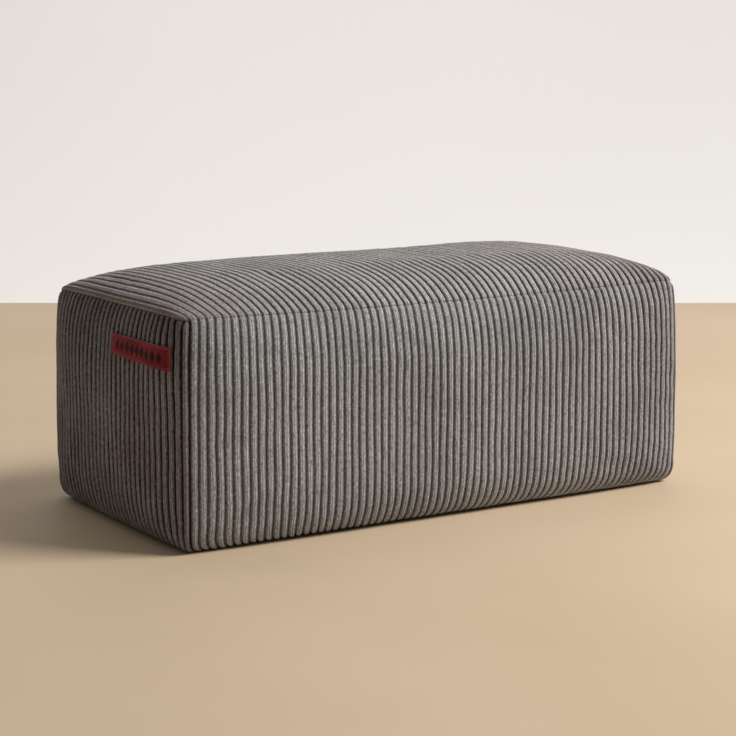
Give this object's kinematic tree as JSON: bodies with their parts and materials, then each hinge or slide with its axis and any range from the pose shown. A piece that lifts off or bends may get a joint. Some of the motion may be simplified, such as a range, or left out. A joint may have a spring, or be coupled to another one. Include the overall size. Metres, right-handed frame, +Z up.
{
  "type": "bean bag footstool",
  "caption": "Low oblong filled footstool in wide-wale corduroy, with a crowned top, sewn seams, soft rolled edges and a small leather label on one end.",
  "frame": {"origin": "centre of the resting face, on the floor", "axes": "+X along the length, the label is on the -X end; -Y is the long front; +Z up"},
  "size_m": [0.4861, 0.2476, 0.1967],
  "materials": {
    "corduroy": "charcoal grey wide-wale cotton corduroy, matt, with a soft brushed pile",
    "label_leather": "dark red leather, semi-matt, with a debossed plain motif"
  },
  "bodies": {
    "root": {"filled_cushion": "corduroy", "label": "label_leather"}
  },
  "joints": []
}
